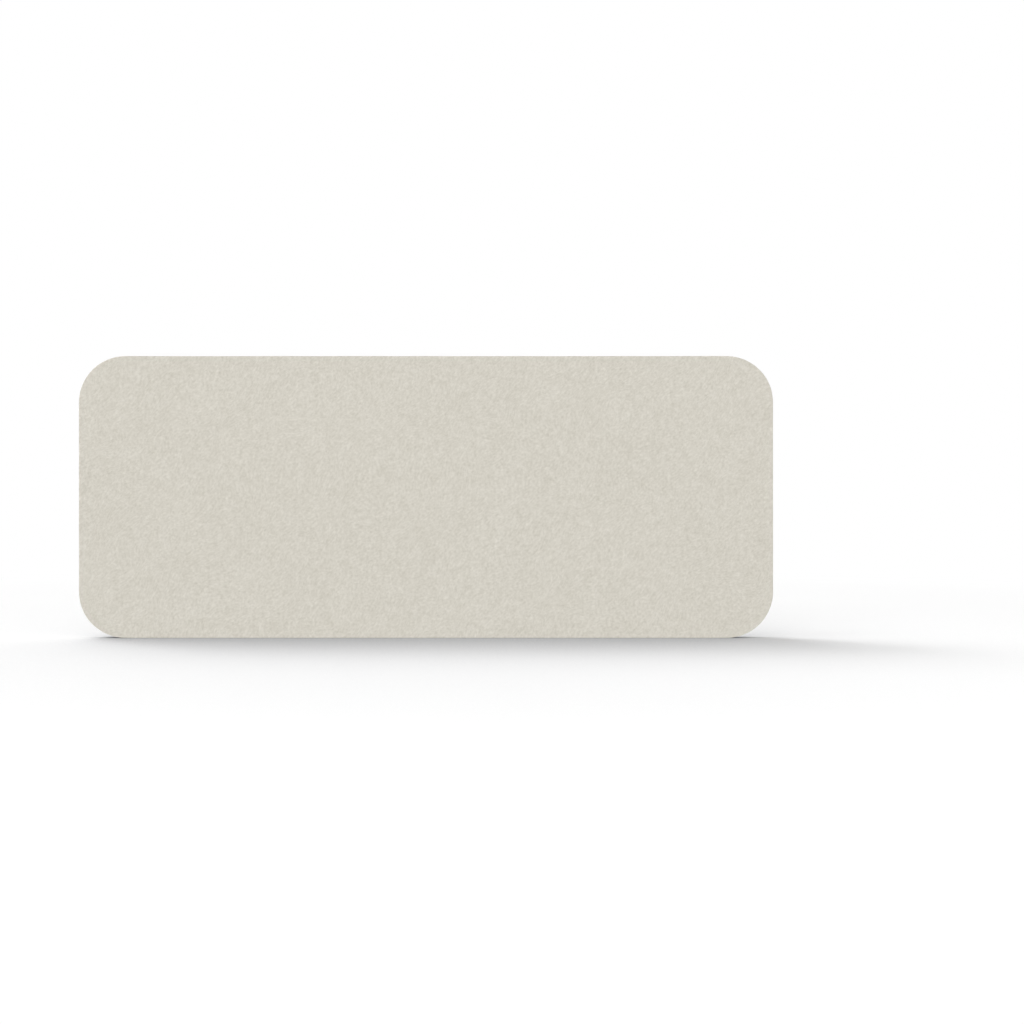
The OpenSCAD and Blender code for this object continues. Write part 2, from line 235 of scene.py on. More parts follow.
floor_mesh = bpy.data.meshes.new("studio_floor")
floor_corners = [(x * floor_reach, y * floor_reach, 0)
                 for x, y in ((-1, -1), (1, -1), (1, 1), (-1, 1))]
floor_mesh.from_pydata(floor_corners, [], [(0, 1, 2, 3)])
floor_mesh.materials.append(floor_finish)
placed("studio_floor", floor_mesh)

for name, (direction, light, angle) in suns.items():
    sun = placed(name, bpy.data.lights.new(name, "SUN"))
    sun.data.energy = light
    sun.data.angle = math.radians(angle)
    sun.rotation_euler = Vector(direction).to_track_quat("-Z", "Y").to_euler()

lamp = placed("lamp", bpy.data.lights.new("lamp", "AREA"))
lamp.data.shape = "RECTANGLE"
lamp.data.size = lamp_width
lamp.data.size_y = lamp_height
lamp.data.energy = lamp_watts
lamp.location = lamp_place
lamp.rotation_euler = (lamp_aim - lamp_place).to_track_quat("-Z", "Y").to_euler()


# The frame's rails and stiles are planed softwood, sawn beside the tree's pith, so that growth
# rings bow across their ends and run as long stripes down their faces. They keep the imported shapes.
softwood_early = (0.75, 0.535, 0.29, 1)
softwood_late = (0.56, 0.33, 0.14, 1)
softwood_middle = 0.16
rail_pith, stile_pith = (0, 0.021, 0.028), (0.031, -0.024, 0)
log_tilt = (0.013, 0.021, 0.017)
ring_spacing, ring_share, ring_dip = 0.0031, 0.62, 0.4
ring_waver, ring_waver_scale = 4.0, 0.08
grain_stretch = 28
grain_width, grain_share = 0.0007, 0.5
band_width, band_share = 0.012, 0.4
softwood_roughness, grain_roughness = 0.52, 0.2
softwood_relief = 0.00012
wood_gloss = 0.35


def pattern(graph, place, size, detail=1.0, roughness=0.5, distortion=0.0, stretch=(1, 1, 1),
            turn=(0, 0, 0), drawn_on=None):
    """Noise of about 0.5 with features of this size in metres, stretched along some turned axis.

    place shifts the noise, so that no two patterns of a material have the same features.
    """
    if drawn_on is None:
        drawn_on = graph.node("ShaderNodeTexCoord", {}, {}, "Object")
    mapped = graph.node("ShaderNodeMapping", {"vector_type": "TEXTURE"}, {
        0: drawn_on, 1: place, 2: turn, 3: stretch})
    return graph.node("ShaderNodeTexNoise", {}, {
        "Vector": mapped, "Scale": 1 / size, "Detail": detail,
        "Roughness": roughness, "Distortion": distortion})


def bumped(graph, height, distance, strength=1.0):
    """The normal of a surface that rises by this distance in metres where height goes up by 1."""
    return graph.node("ShaderNodeBump", {}, {
        "Height": height, "Distance": distance, "Strength": strength})


def finished(graph, colour, roughness, normal, gloss=0.5, **constants):
    """The graph's material: a principled surface of this colour, roughness, normal and gloss."""
    return graph.show(graph.node("ShaderNodeBsdfPrincipled", {}, {
        "Base Color": colour, "Roughness": roughness, "Normal": normal,
        "Specular IOR Level": gloss,
        **{name.replace("_", " "): value for name, value in constants.items()}}))


def softwood(name, along, pith):
    """Softwood with its grain along X or Z and its rings about a line through pith.

    Each ring darkens as its own height squared. A wave node of scale s draws 10 s / pi rings to
    the metre.
    """
    graph = Graph(bpy.data.materials.new(name))
    place = graph.node("ShaderNodeMapping", {}, {
        0: graph.node("ShaderNodeTexCoord", {}, {}, "Object"), 1: pith, 2: log_tilt})
    rings = graph.node("ShaderNodeTexWave", {
        "wave_type": "RINGS", "rings_direction": along, "wave_profile": "SAW"}, {
        "Vector": place, "Scale": math.pi / 10 / ring_spacing, "Distortion": ring_waver,
        "Detail": 2.0, "Detail Scale": ring_waver_scale}, "Fac")
    stretch = (grain_stretch, 1, 1) if along == "X" else (1, 1, grain_stretch)
    grain = pattern(graph, (0.4, 0.2, 0.9), grain_width, detail=2.0, roughness=0.6, stretch=stretch)
    bands = pattern(graph, (0.7, 0.5, 0.1), band_width, stretch=stretch)
    tone = (rings ** 2 * ring_share + (grain - 0.5) * grain_share + (bands - 0.5) * band_share
            + softwood_middle)
    return finished(
        graph, mix(graph, tone, softwood_early, softwood_late),
        grain * grain_roughness + softwood_roughness,
        bumped(graph, grain - rings * ring_dip, softwood_relief), wood_gloss)


def finish_nodes(names, finish):
    """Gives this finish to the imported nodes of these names."""
    for name in names:
        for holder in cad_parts[name].material_slots:
            holder.material = finish


rail_wood = softwood("rail_softwood", "X", rail_pith)
stile_wood = softwood("stile_softwood", "Z", stile_pith)
finish_nodes(["top_rail", "bottom_rail"], rail_wood)
finish_nodes(["left_stile", "right_stile"], stile_wood)


# The corner blocks are routed from birch plywood to the round corners. Their 15 plies lie flat in
# the frame's plane, so long grain and end grain take turns through their thickness, with dark glue
# lines between. The two outer plies are sanded a little thinner.
plywood_pale = (0.66, 0.45, 0.225, 1)
plywood_dark = (0.47, 0.275, 0.11, 1)
glue_line = (0.16, 0.075, 0.03, 1)
ply_thickness = 0.0015
ply_grain_width = 0.0008
ply_turn = 0.12
crossed_shade = 0.18
glue_from, glue_to = 0.02, 0.2
glue_share, glue_dip = 0.7, 0.5
plywood_roughness = 0.5
plywood_relief = 0.0001


def plywood(name):
    """Plies in turn with grain along X and Z, told apart by the sign of cos(pi y / thickness).

    The cosine is 0 at the glue lines, so its size also draws these.
    """
    graph = Graph(bpy.data.materials.new(name))
    swing = (coordinate(graph, "Y") * (math.pi / ply_thickness)).math("COSINE")
    crossed = step_between(graph, swing, -ply_turn, ply_turn)
    along_x, along_z = (
        pattern(graph, place, ply_grain_width, detail=2.0, roughness=0.6, stretch=stretch)
        for place, stretch in (
            ((0.6, 0.3, 0.8), (grain_stretch, 1, 1)), ((0.2, 0.9, 0.4), (1, 1, grain_stretch))))
    grain = along_x * (1 - crossed) + along_z * crossed
    glue = 1 - step_between(graph, swing.math("ABSOLUTE"), glue_from, glue_to)
    wood = mix(
        graph, grain + crossed * crossed_shade - crossed_shade / 2, plywood_pale, plywood_dark)
    return finished(
        graph, mix(graph, glue * glue_share, wood, glue_line),
        grain * grain_roughness + plywood_roughness,
        bumped(graph, grain - glue * glue_dip, plywood_relief), wood_gloss)


finish_nodes([f"{level}_{side}_corner_block" for level in ("top", "bottom")
              for side in ("left", "right")], plywood("corner_plywood"))


# Rails and stiles meet the corner blocks on beech dowels, two in each joint, glued into blind
# holes. Beech is pale and even, with short brown flecks.
beech_pale = (0.79, 0.60, 0.345, 1)
beech_fleck = (0.42, 0.23, 0.10, 1)
fleck_size, fleck_share = 0.0009, 0.6
fleck_from, fleck_to = 0.58, 0.72
pore_size = 0.0006
beech_roughness, fleck_roughness = 0.5, 0.15
beech_relief = 0.0001

graph = Graph(bpy.data.materials.new("beech_dowel"))
specks = pattern(graph, (0.5, 0.1, 0.3), fleck_size, roughness=0.6, distortion=0.3)
flecks = step_between(graph, specks, fleck_from, fleck_to)
pores = pattern(graph, (0.8, 0.6, 0.2), pore_size, detail=2.0)
finish_nodes(["frame_dowels"], finished(
    graph, mix(graph, flecks * fleck_share, beech_pale, beech_fleck),
    flecks * fleck_roughness + beech_roughness, bumped(graph, pores, beech_relief)))


# The barrier board stops the sound. It is a sheet of hardboard in the frame's groove: brown wood
# fibre pressed smooth and shiny on the front, with the print of the press's wire mesh on the rear.
hardboard_brown = (0.265, 0.135, 0.056, 1)
hardboard_dark = (0.115, 0.052, 0.02, 1)
press_mesh_pitch, press_mesh_dip = 0.0017, 0.5
pulp_size, pulp_share, pulp_start, pulp_dip = 0.0018, 1.3, 0.3, 0.4
# Of each layer of stray fibres: its noise's place, its size and its share.
board_fibres = (((0.9, 0.4, 0.6), 0.011, 0.5), ((0.1, 0.8, 0.3), 0.017, 0.4))
stray_waver = 0.6
gap_size, gap_from, gap_to = 0.9, 0.5, 0.62
board_roughness, pulp_roughness = 0.32, 0.25
board_relief = 0.00015


def stray_fibres(graph, place, size, share, fineness=26):
    """Thin lines where a noise crosses its middle value, broken up by a second noise.

    They are share (1 - fineness |noise - 1/2|), no less than 0, where the second noise is high.
    """
    field = pattern(graph, place, size, distortion=stray_waver)
    line = 1 - (field - 0.5).math("ABSOLUTE") * fineness
    gaps = pattern(graph, (place[2], place[0], place[1]), size * gap_size)
    return line.math("MAXIMUM", 0.0) * step_between(graph, gaps, gap_from, gap_to) * share


graph = Graph(bpy.data.materials.new("hardboard"))
across, depth, height = (coordinate(graph, axis) for axis in "XYZ")
wires = [(axis * (math.tau / press_mesh_pitch)).math("SINE") for axis in (across, height)]
mesh_print = wires[0] * wires[1] * depth.math("GREATER_THAN", 0.0)
pulp = pattern(graph, (0.3, 0.7, 0.5), pulp_size, detail=4.0, roughness=0.7)
short_fibres, long_fibres = (stray_fibres(graph, *layer) for layer in board_fibres)
board_tone = pulp * pulp_share - pulp_start + (short_fibres + long_fibres)
finish_nodes(["barrier_board"], finished(
    graph, mix(graph, board_tone, hardboard_brown, hardboard_dark),
    pulp * pulp_roughness + board_roughness,
    bumped(graph, pulp * pulp_dip + mesh_print * press_mesh_dip, board_relief)))


# Mullions of the same softwood stand in pairs on both sides of the board and stiffen it. Steel
# countersunk screws with a yellow passivated coat clamp each pair through it.
passivated_yellow = (0.70, 0.54, 0.17, 1)
passivated_rose = (0.62, 0.36, 0.24, 1)
passivated_patch, passivated_roughness = 0.0016, 0.24
patch_from, patch_to = 0.42, 0.66
crystals_across_patch = 9
crystal_roughness = 0.22
crystal_relief = 0.00002


def plated(name, base, tint, size, roughness):
    """Plated steel that drifts to a tint in patches of this size, under fine crystals."""
    graph = Graph(bpy.data.materials.new(name))
    drift = pattern(graph, (0.2, 0.5, 0.7), size, detail=2.0, roughness=0.6, distortion=0.8)
    patches = step_between(graph, drift, patch_from, patch_to)
    crystals = pattern(
        graph, (0.6, 0.8, 0.1), size / crystals_across_patch, detail=2.0, roughness=0.7)
    return finished(
        graph, mix(graph, patches, base, tint), crystals * crystal_roughness + roughness,
        bumped(graph, crystals, crystal_relief), Metallic=1.0)


finish_nodes([f"{side}_{place}_mullion" for side in ("front", "rear")
              for place in ("left", "right")], stile_wood)
finish_nodes(["mullion_screws"], plated(
    "yellow_passivated_steel", passivated_yellow, passivated_rose, passivated_patch,
    passivated_roughness))


# The absorber pads are slabs of grey pressed fibre, made of shredded cloth, cut a little under the
# bays between the mullions. The outer ones follow the frame's round corners. Their cut edges are
# soft, and their faces dip a little between firmer places.
corner_radius = 0.107
half_width = 0.8
foot_height = 0.0003
half_height = 0.32485
middle_z = foot_height + half_height
straight_width = 2 * (half_width - corner_radius)
straight_height = 2 * (half_height - corner_radius)
pad_inset = 0.045
pad_edge_radius = 0.002
slab_edge_steps = 3
pad_hollows = 0.0004
pad_rows, pad_columns, pad_corner_steps = 30, 26, 6
relief_wave_count = 60
relief_shortest, relief_longest = 0.03, 0.2
relief_height = 0.00011
fibre_pale = (0.43, 0.445, 0.43, 1)
fibre_dark = (0.235, 0.25, 0.25, 1)
fibre_blue = (0.09, 0.15, 0.27, 1)
shred_size, shred_share, shred_start = 0.0026, 1.4, 0.2
# Of each colour of stray fibres: its noise's place, its size, share and fineness.
pale_threads = ((0.7, 0.2, 0.5), 0.012, 0.6, 44)
dark_threads = ((0.3, 0.9, 0.2), 0.016, 0.6, 50)
blue_threads = ((0.8, 0.1, 0.6), 0.019, 0.8, 60)
fluff_size = 0.0009
pad_roughness, pad_gloss = 0.96, 0.12
pad_relief = 0.0006


def grid_columns(straight_xs, corner_steps):
    """The columns of a grid over the outline: middles, across and up.

    Drawn in by an inset, with r = corner_radius - inset, a column stands at middle + r * across
    and reaches straight_height / 2 + r * up above and below the screen's middle. Round the
    corners (across, up) is (-cos, sin) or (cos, sin) of equal steps of angle, between them (0, 1).
    """
    angles = np.linspace(0, math.pi / 2, corner_steps + 1)
    right = np.full(corner_steps + 1, straight_width / 2)
    middles = np.concatenate([-right, straight_xs, right])
    across = np.concatenate([-np.cos(angles), 0 * straight_xs, np.cos(angles[::-1])])
    up = np.concatenate([np.sin(angles), 1 + 0 * straight_xs, np.sin(angles[::-1])])
    return middles, across, up


def face_points(columns, rows, inset, y):
    """A flat grid that fills the outline: x = m + r a and z = middle_z + (h / 2 + r u) t.

    m, a and u are each column's middle, across and up, r is corner_radius - inset, h is
    straight_height, and t runs from -1 to 1 over the rows. The last axis is x, y, z.
    """
    middles, across, up = columns
    r = corner_radius - inset
    t = np.linspace(-1, 1, rows + 1)
    x = np.repeat((middles + r * across)[:, None], rows + 1, 1)
    z = middle_z + (straight_height / 2 + r * up)[:, None] * t
    return np.stack([x, np.full_like(x, y), z], -1)


def rim_of(grid):
    """The border of a grid as one loop: the bottom row, right column, top row and left column."""
    return np.concatenate([grid[:-1, 0], grid[-1, :-1], grid[:0:-1, -1], grid[0, :0:-1]])


def skin(name, outer, rings, inner, finish, turned=False):
    """A closed skin from two grids of equal size and the rings of points that join their borders.

    The outer grid is seen from the front with x to the right, the rings follow its border's loop,
    and the inner grid closes the back. turned swaps the faces' sides, for a skin mirrored in y.
    """
    columns, rows = outer.shape[:2]
    count = columns * rows
    numbers = np.arange(count).reshape(columns, rows)
    corners = [numbers[:-1, :-1], numbers[1:, :-1], numbers[1:, 1:], numbers[:-1, 1:]]
    quads = np.stack(corners, -1).reshape(-1, 4)
    border = rim_of(numbers)
    ring_numbers = count + np.arange(len(rings) * len(border)).reshape(len(rings), len(border))
    inner_start = count + ring_numbers.size
    loops = np.vstack([border, ring_numbers, inner_start + border])
    ahead = np.roll(loops, -1, 1)
    rim_quads = np.stack([loops[:-1], loops[1:], ahead[1:], ahead[:-1]], -1).reshape(-1, 4)
    faces = np.vstack([quads, rim_quads, inner_start + quads[:, ::-1]])
    points = np.vstack([outer.reshape(-1, 3), np.reshape(rings, (-1, 3)), inner.reshape(-1, 3)])
    return solid(name, points, faces[:, ::-1] if turned else faces, finish)


def solid(name, points, faces, finish):
    """A smooth-shaded mesh object from an array of points and one of triangles or quads."""
    mesh = bpy.data.meshes.new(name)
    sides = faces.shape[1]
    mesh.vertices.add(len(points))
    mesh.vertices.foreach_set("co", points.astype(np.float32).ravel())
    mesh.loops.add(faces.size)
    mesh.loops.foreach_set("vertex_index", faces.astype(np.int32).ravel())
    mesh.polygons.add(len(faces))
    mesh.polygons.foreach_set("loop_start", np.arange(0, faces.size, sides, dtype=np.int32))
    mesh.polygons.foreach_set("use_smooth", np.ones(len(faces), bool))
    mesh.update(calc_edges=True)
    mesh.validate()
    mesh.materials.append(finish)
    made = placed(name, mesh)
    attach(made, "root")
    return made


def relief(points, seed):
    """Unevenness of something soft: the sum over k of h_k cos(w_k . p + s_k).

    The waves run in random directions, their lengths step evenly in proportion from the shortest
    to the longest, and their heights grow with the length's root. relief_height is the sum's root
    mean square.
    """
    dice = np.random.default_rng(seed)
    lengths = np.geomspace(relief_shortest, relief_longest, relief_wave_count)
    headings = dice.normal(size=(relief_wave_count, 3))
    headings /= np.linalg.norm(headings, axis=1)[:, None]
    shifts = dice.uniform(0, math.tau, relief_wave_count)
    heights = np.sqrt(lengths)
    heights *= relief_height / math.sqrt((heights**2).sum() / 2)
    return np.cos(points @ (headings * (math.tau / lengths)[:, None]).T + shifts) @ heights


def slab(name, columns, pull, rows, inset, edge_radius, depths, hollows, seed, finish):
    """A closed slab inside the outline, drawn in by an inset, with its edges rounded.

    At angle a round an edge the border is drawn in by edge_radius (1 - sin a) more and lies
    edge_radius (1 - cos a) below the face. pull is 1 in a column that stands at a straight left
    end, -1 at a straight right end, and even between, so these ends are drawn in as well. Both
    faces dip by hollows (1 - cos(relief / relief_height)) / 2.
    """
    middles, across, up = columns
    front_y, back_y = depths

    def grid(extra, y):
        """The slab's section at this y, drawn in by extra more."""
        return face_points((middles + extra * pull, across, up), rows, inset + extra, y)

    angles = np.linspace(0, math.pi / 2, slab_edge_steps + 1)[1:]
    turns = [(edge_radius * (1 - math.sin(a)), edge_radius * (1 - math.cos(a))) for a in angles]
    rings = [rim_of(grid(extra, front_y + depth)) for extra, depth in turns]
    rings += [rim_of(grid(extra, back_y - depth)) for extra, depth in turns[::-1]]
    outer, inner = grid(edge_radius, front_y), grid(edge_radius, back_y)
    for points, inward in ((outer, 1), (inner, -1)):
        dips = hollows * (1 - np.cos(relief(points, seed) / relief_height)) / 2
        dips[0] = dips[-1] = dips[:, 0] = dips[:, -1] = 0
        points[..., 1] += inward * dips
    return skin(name, outer, np.array(rings), inner, finish)


def pad_outline(place, low_x, high_x):
    """The columns of one bay's pad and their pull.

    A middle pad has two straight ends. A left one has the outline's left corners and a straight
    right end, and a right one is the mirror image of a left one.
    """
    if place == "middle":
        xs = np.linspace(low_x, high_x, pad_columns)
        return (xs, 0 * xs, 1 + 0 * xs), np.linspace(1, -1, pad_columns)
    inner_end = high_x if place == "left" else -low_x
    xs = np.linspace(-straight_width / 2, inner_end, pad_columns)[1:]
    middles, across, up = (
        part[:-pad_corner_steps - 1] for part in grid_columns(xs, pad_corner_steps))
    pull = np.concatenate([np.zeros(pad_corner_steps + 1), np.linspace(0, -1, pad_columns)[1:]])
    if place == "left":
        return (middles, across, up), pull
    return (-middles[::-1], -across[::-1], up[::-1]), -pull[::-1]


graph = Graph(bpy.data.materials.new("pressed_fibre"))
shreds = pattern(graph, (0.1, 0.6, 0.4), shred_size, detail=3.0, roughness=0.65, distortion=0.4)
pale, dark, blue = (
    stray_fibres(graph, *threads) for threads in (pale_threads, dark_threads, blue_threads))
greys = mix(graph, shreds * shred_share - shred_start + pale - dark, fibre_dark, fibre_pale)
fluff = pattern(graph, (0.4, 0.3, 0.8), fluff_size, detail=4.0, roughness=0.7)
pressed_fibre = finished(
    graph, mix(graph, blue, greys, fibre_blue), pad_roughness,
    bumped(graph, fluff + pale + dark, pad_relief), pad_gloss)

for side, seed in (("front", 31), ("rear", 47)):
    for number, place in enumerate(("left", "middle", "right")):
        node = f"{side}_{place}_pad"
        low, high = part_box(node)
        columns, pull = pad_outline(place, low.x, high.x)
        pad = slab(f"{side}_{place}_absorber", columns, pull, pad_rows, pad_inset, pad_edge_radius,
                   (low.y, high.y), pad_hollows, seed + number, pressed_fibre)
        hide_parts(node)


# Four turned brass inserts with an M6 thread are pressed into the bottom rail in two pairs, for the
# bolts of desk brackets or feet. A flange stops each at the rail's foot, and barbs hold its body.
insert_xs = np.array([-0.532, -0.468, 0.468, 0.532])
insert_foot, insert_flange_top, insert_top = 0.003, 0.0042, 0.018
insert_flange_radius, insert_body_radius = 0.007, 0.005
thread_crest_radius, thread_root_radius = 0.0025, 0.003
thread_pitch = 0.001
thread_points = 8
insert_chamfer, insert_top_chamfer = 0.00025, 0.0006
barb_count, barb_pitch, barb_depth, barb_share = 6, 0.0021, 0.0003, 0.9
insert_turn_steps = 48
sharp_angle = math.radians(35)
brass = (0.62, 0.42, 0.13, 1)
brass_tarnish = (0.47, 0.28, 0.075, 1)
tool_mark_pitch, tool_mark_depth = 0.00014, 0.000004
tarnish_size, tarnish_share = 0.003, 0.7
tarnish_from, tarnish_to = 0.46, 0.7
brass_roughness, tarnish_roughness = 0.24, 0.2


def insert_points(turns):
    """Radius and height of an insert's closed section at each turn angle, as (angle, point).

    Outside it runs over the flange and up the barbs, each of which narrows evenly to its top.
    Inside it comes down the thread, a triangle wave between crest and root of
    z / pitch - angle / 2 pi, that opens at 45 degrees at both mouths.
    """
    mouth = thread_root_radius + insert_chamfer
    steps = np.arange(barb_count) * barb_pitch + insert_flange_top
    barb_z = np.stack([steps, steps + barb_share * barb_pitch], 1).ravel()
    barb_r = np.tile([insert_body_radius, insert_body_radius - barb_depth], barb_count)
    flange_face = insert_flange_radius - insert_chamfer
    outside_r = np.concatenate([
        [mouth, flange_face, insert_flange_radius, insert_flange_radius, flange_face],
        barb_r, [insert_body_radius, insert_body_radius - insert_top_chamfer]])
    outside_z = np.concatenate([
        [insert_foot, insert_foot, insert_foot + insert_chamfer,
         insert_flange_top - insert_chamfer, insert_flange_top],
        barb_z, [insert_top - insert_top_chamfer, insert_top]])
    count = round((insert_top - insert_foot) / thread_pitch * thread_points)
    z = np.linspace(insert_top, insert_foot, count + 1)[:-1]
    phase = z[None, :] / thread_pitch - turns[:, None] / math.tau
    wave = np.abs(2 * (phase % 1) - 1)
    radius = thread_crest_radius + (thread_root_radius - thread_crest_radius) * wave
    to_mouth = np.minimum(insert_top - z, z - insert_foot)
    radius = np.maximum(radius, mouth - to_mouth)
    return (np.hstack([np.tile(outside_r, (len(turns), 1)), radius]),
            np.tile(np.concatenate([outside_z, z]), (len(turns), 1)))


def ring_quads(rows, columns):
    """The quads of a grid of numbered points that closes on itself both ways."""
    numbers = np.arange(rows * columns).reshape(rows, columns)
    on = np.roll(numbers, -1, 0)
    return np.stack([numbers, on, np.roll(on, -1, 1), np.roll(numbers, -1, 1)], -1).reshape(-1, 4)


graph = Graph(bpy.data.materials.new("turned_brass"))
tool_marks = (coordinate(graph, "Z") * (math.tau / tool_mark_pitch)).math("SINE")
clouds = pattern(graph, (0.9, 0.2, 0.6), tarnish_size, detail=3.0, roughness=0.6, distortion=0.5)
tarnish = step_between(graph, clouds, tarnish_from, tarnish_to)
turned_brass = finished(
    graph, mix(graph, tarnish * tarnish_share, brass, brass_tarnish),
    tarnish * tarnish_roughness + brass_roughness,
    bumped(graph, tool_marks, tool_mark_depth), Metallic=1.0)

# A point of radius r and height z at turn angle a lies at (r cos a, r sin a, z) from the axis.
turns = np.linspace(0, math.tau, insert_turn_steps + 1)[:-1]
radii, heights = insert_points(turns)
one_insert = np.stack([radii * np.cos(turns)[:, None], radii * np.sin(turns)[:, None],
                       heights], -1).reshape(-1, 3)
insert_quads = ring_quads(*radii.shape)
inserts = solid(
    "brass_inserts",
    np.vstack([one_insert + (x, 0, 0) for x in insert_xs]),
    np.vstack([insert_quads + number * len(one_insert) for number in range(len(insert_xs))]),
    turned_brass)
inserts.data.set_sharp_from_angle(angle=sharp_angle)
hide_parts("threaded_inserts")


# A thin sheet of white polyester wadding lies over each side of the frame, so that its edges don't
# print through the felt. Each is cut to the outline, and the stretched felt holds it in place.
wadding_inset = 0.003
wadding_edge_radius = 0.0006
wadding_hollows = 0.0002
wadding_step = 0.022
wadding_rows, wadding_corner_steps = 30, 7
wadding_white = (0.89, 0.89, 0.85, 1)
wadding_shade = (0.66, 0.67, 0.65, 1)
fleece_size = 0.004
wadding_fibres = (((0.6, 0.5, 0.1), 0.018, 0.5), ((0.9, 0.3, 0.4), 0.027, 0.5))
wadding_roughness, wadding_gloss = 0.97, 0.1
wadding_relief = 0.0008


def even_columns(step):
    """The x of even columns, about a step apart, between the corners."""
    steps = round(straight_width / step)
    return np.linspace(-straight_width / 2, straight_width / 2, steps + 1)[1:-1]


graph = Graph(bpy.data.materials.new("polyester_wadding"))
fleece = pattern(graph, (0.2, 0.1, 0.9), fleece_size, detail=4.0, roughness=0.65, distortion=0.5)
short_fibres, long_fibres = (stray_fibres(graph, *layer) for layer in wadding_fibres)
fleece = fleece + (short_fibres + long_fibres)
wadding_finish = finished(
    graph, mix(graph, fleece, wadding_shade, wadding_white), wadding_roughness,
    bumped(graph, fleece, wadding_relief), wadding_gloss)

wadding_columns = grid_columns(even_columns(wadding_step), wadding_corner_steps)
for side, seed in (("front", 53), ("rear", 59)):
    low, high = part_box(f"{side}_wadding")
    sheet = slab(
        f"{side}_wadding_sheet", wadding_columns, 0 * wadding_columns[0], wadding_rows,
        wadding_inset, wadding_edge_radius, (low.y, high.y), wadding_hollows, seed,
        wadding_finish)
    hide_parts(f"{side}_wadding")


# The felt covers are two skins of wool felt, one over each face. Round the sides and the top they
# turn over the frame's edge and are sewn together inside out, with the seam allowances in the
# frame's groove. Along the bottom they end in open hems that the base strip presses to the wood.
face_y = 0.015
felt_thickness = 0.0025
fold_radius, fold_steps = 0.003, 8
edge_shares = (0.3, 0.6, 0.85, 1.0)
seam_radius, seam_steps = 0.001, 6
seam_parting = 0.00003
allowance_width, allowance_thickness, allowance_root = 0.006, 0.002, 0.0005
hem_end, hem_thickness, hem_root = 0.00165, 0.0012, 0.0015
hem_slack, hem_turn = 0.0001, 0.0004
inside_steps = (4, 1, 2, 4)
strip_pocket_half_width = 0.0112
strip_pocket_end_centre = 0.676
hem_from, hem_to = 0.684, 0.674
allowance_from, allowance_to = 0.6935, 0.699
press_from, press_to = 0.693, 0.6872
insert_notch_radius = 0.008
notch_stations = np.array([-1, -0.7071, 0, 0.7071, 1])
column_step, column_crowding = 0.006, 2.4
corner_columns, face_rows = 24, 104
stitch_pitch = 0.004

felt_pale = (0.769, 0.741, 0.672, 1)
felt_dark = (0.534, 0.5045, 0.43, 1)
comb_lean = math.radians(48)
comb_wander, comb_wander_size = 0.15, 0.2
tuft_width, tuft_stretch, tuft_share = 0.0046, 1.8, 0.42
# The tufts carry painted light: their upper sides are painted brighter and their lower sides darker,
# flank_shift apart.
flank_shift, painted_flank_light_share = 0.0018, 0.34
# Of each layer of clumps or of stray fibres: its noise's place, its size and its share.
clump_layers = (((2.1, 0.4, 1.3), 0.0062, 0.46), ((0.9, 1.7, 0.2), 0.0145, 0.25),
                ((4.4, 0.6, 2.9), 0.05, 0.085), ((1.4, 3.3, 0.8), 0.22, 0.018))
felt_pale_fibres = ((5.2, 0.9, 1.1), 0.024, 0.13)
felt_dark_fibres = ((1.9, 7.4, 3.6), 0.031, 0.09)
mat_fibre_width, mat_fibre_stretch, mat_fibre_waver = 0.0009, 14, 1.2
mat_layers, mat_turn, mat_step = 6, 2.4, 0.41
mat_middle, mat_share = 0.65, 1.05
nap_size, nap_share = 0.0011, 0.4
felt_relief, felt_relief_strength = 0.0006, 0.6
seam_pucker_width, seam_pucker_depth = 0.0045, 0.00012
felt_roughness, felt_gloss = 0.95, 0.15
felt_sheen, felt_sheen_roughness = 0.06, 0.6


def smoothstep(value, start, end):
    """3 t^2 - 2 t^3, where t is how far value has come from start to end, kept from 0 to 1."""
    t = np.clip((value - start) / (end - start), 0, 1)
    return t * t * (3 - 2 * t)


def blend(first, second, share):
    """From first, where share is 0, to second, where it is 1."""
    return first + (second - first) * share


